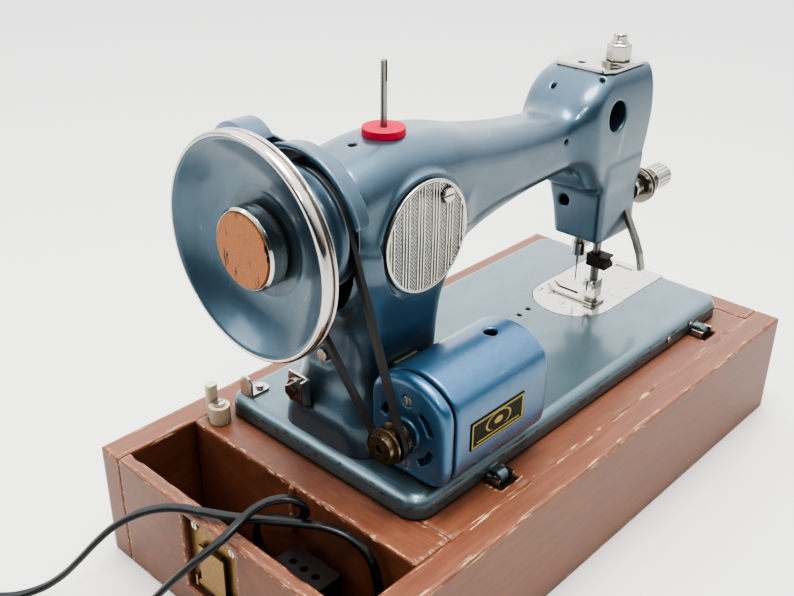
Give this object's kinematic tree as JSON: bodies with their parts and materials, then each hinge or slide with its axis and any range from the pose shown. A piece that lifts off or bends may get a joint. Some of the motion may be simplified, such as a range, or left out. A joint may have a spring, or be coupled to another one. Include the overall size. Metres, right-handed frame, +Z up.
{
  "type": "electric sewing machine in a portable wooden base",
  "caption": "Electric sewing machine, cast arm and bed with handwheel, belt and rear motor, hinged in a wooden base with side storage and leads.",
  "frame": {"origin": "centre of the wooden base's underside", "axes": "+X along the base towards the handwheel end, +Y towards the rear, +Z up"},
  "size_m": [0.6848, 0.2777, 0.334],
  "materials": {
    "wood": "painted, worn",
    "raw_wood": "raw",
    "enamel": "metallic gloss",
    "chrome": "polished",
    "steel": "ground",
    "dark_steel": "blackened",
    "brass": "dull",
    "worn_face": "mottled",
    "felt": "felt",
    "belt_rubber": "dull",
    "lead_rubber": "satin",
    "black_plastic": "moulded",
    "brown_plastic": "bakelite",
    "cream_plastic": "moulded"
  },
  "bodies": {
    "base": {"base_front_board": "wood", "base_rear_board": "wood", "base_left_board": "wood", "base_right_board": "wood", "base_partition": "wood", "base_floor": "raw_wood", "base_hardware": "chrome", "latch_plate": "brass", "connector_block": "brown_plastic", "mains_lead": "lead_rubber", "mains_coil": "lead_rubber", "mains_plug": "black_plastic", "pedal_lead": "lead_rubber", "pedal_coil": "lead_rubber", "pedal_plug": "black_plastic"},
    "machine": {"bed_casting": "enamel", "arm_casting": "enamel", "throat_plate": "chrome", "machine_screws": "chrome", "face_plate": "chrome", "top_plate": "chrome", "shaft_bushings": "steel", "spool_pin": "steel", "spool_felt": "felt", "belt_guard": "enamel", "terminal_bracket": "chrome", "winder_tension": "chrome", "motor_housing": "enamel", "motor_end_cap": "enamel", "motor_bracket": "steel", "nameplate": "brass", "tension_discs": "chrome", "drive_belt": "belt_rubber"},
    "latch hasp": {"latch_hasp": "brass"},
    "turn catch": {"turn_catch": "cream_plastic"},
    "handwheel": {"arm_shaft": "steel", "handwheel": "enamel", "wheel_rim": "chrome"},
    "clutch": {"clutch_knob": "chrome", "clutch_face": "worn_face"},
    "motor rotor": {"motor_rotor": "steel", "motor_pulley": "brass"},
    "needle bar": {"needle_bar": "steel", "needle_clamp": "chrome", "needle": "steel"},
    "take-up lever": {"take_up_lever": "chrome"},
    "presser": {"presser_bar": "steel", "presser_foot": "chrome", "thread_cutter": "dark_steel", "presser_spring": "steel"},
    "presser lifter": {"presser_lifter": "chrome"},
    "pressure nut": {"pressure_nut": "chrome"},
    "slide plate": {"slide_plate": "chrome"},
    "feed dog": {"feed_dog": "steel"},
    "inspection cover": {"inspection_cover": "chrome"},
    "winder frame": {"winder_frame": "enamel"},
    "winder spindle": {"winder_spindle": "steel"},
    "tension knob": {"tension_knob": "chrome"},
    "stitch lever": {"stitch_lever": "chrome"},
    "hook": {"shuttle_hook": "steel"}
  },
  "joints": [
    {"name": "machine_tilt", "type": "hinge", "parent": "base", "child": "machine", "pos_m": [0, 0.086, 0.0865], "axis": [-1, 0, 0], "range_deg": [0, 60]},
    {"name": "latch_hasp_turn", "type": "hinge", "parent": "base", "child": "latch hasp", "pos_m": [0.2377, -0.01, 0.032], "axis": [0, 1, 0], "range_deg": [0, 100]},
    {"name": "turn_catch_turn", "type": "hinge", "parent": "base", "child": "turn catch", "pos_m": [0.1673, -0.089, 0.09], "axis": [0, 0, 1], "range_deg": [0, 100]},
    {"name": "handwheel_spin", "type": "hinge", "parent": "machine", "child": "handwheel", "pos_m": [0, -0.008, 0.25], "axis": [1, 0, 0], "continuous": true},
    {"name": "clutch_turn", "type": "hinge", "parent": "handwheel", "child": "clutch", "pos_m": [0, -0.008, 0.25], "axis": [1, 0, 0], "range_deg": [0, 120]},
    {"name": "motor_spin", "type": "hinge", "parent": "machine", "child": "motor rotor", "pos_m": [0, 0.058, 0.1335], "axis": [1, 0, 0], "continuous": true},
    {"name": "needle_bar_slide", "type": "slide", "parent": "machine", "child": "needle bar", "axis": [0, 0, -1], "range_m": [0, 0.0275]},
    {"name": "take_up_swing", "type": "hinge", "parent": "machine", "child": "take-up lever", "pos_m": [-0.154, 0.004, 0.264], "axis": [0, -1, 0], "range_deg": [0, 48]},
    {"name": "presser_slide", "type": "slide", "parent": "machine", "child": "presser", "axis": [0, 0, 1], "range_m": [0, 0.0065], "deforming": ["presser_spring"]},
    {"name": "lifter_swing", "type": "hinge", "parent": "machine", "child": "presser lifter", "pos_m": [-0.152, 0.013, 0.188], "axis": [1, 0, 0], "range_deg": [0, 65]},
    {"name": "pressure_nut_turn", "type": "hinge", "parent": "machine", "child": "pressure nut", "pos_m": [-0.133, 0.009, 0.296], "axis": [0, 0, 1], "range_deg": [-180, 180]},
    {"name": "slide_plate_slide", "type": "slide", "parent": "machine", "child": "slide plate", "axis": [-1, 0, 0], "range_m": [0, 0.05]},
    {"name": "feed_dog_slide", "type": "slide", "parent": "machine", "child": "feed dog", "axis": [0, -1, 0], "range_m": [-0.0015, 0.0015]},
    {"name": "inspection_cover_swing", "type": "hinge", "parent": "machine", "child": "inspection cover", "pos_m": [0.079, 0.029, 0.2586], "axis": [0, 1, 0], "range_deg": [0, 100]},
    {"name": "winder_frame_swing", "type": "hinge", "parent": "machine", "child": "winder frame", "pos_m": [0.15, -0.047, 0.293], "axis": [1, 0, 0], "range_deg": [0, 5]},
    {"name": "winder_spindle_spin", "type": "hinge", "parent": "winder frame", "child": "winder spindle", "pos_m": [0.15, -0.047, 0.293], "axis": [1, 0, 0], "continuous": true},
    {"name": "tension_knob_turn", "type": "hinge", "parent": "machine", "child": "tension knob", "pos_m": [-0.2, 0.013, 0.188], "axis": [1, 0, 0], "range_deg": [0, 300]},
    {"name": "stitch_lever_swing", "type": "hinge", "parent": "machine", "child": "stitch lever", "pos_m": [0.1065, -0.042, 0.162], "axis": [0, 1, 0], "range_deg": [-25, 25]},
    {"name": "hook_swing", "type": "hinge", "parent": "machine", "child": "hook", "pos_m": [0, -0.008, 0.071], "axis": [1, 0, 0], "range_deg": [-100, 100]}
  ],
  "couplings": [
    {"joint": "motor_spin", "follows": "handwheel_spin", "ratio": 3.5556},
    {"joint": "take_up_swing", "follows": "needle_bar_slide", "rad_per_m": 29.829},
    {"joint": "lifter_swing", "follows": "presser_slide", "rad_per_m": 171.85}
  ]
}
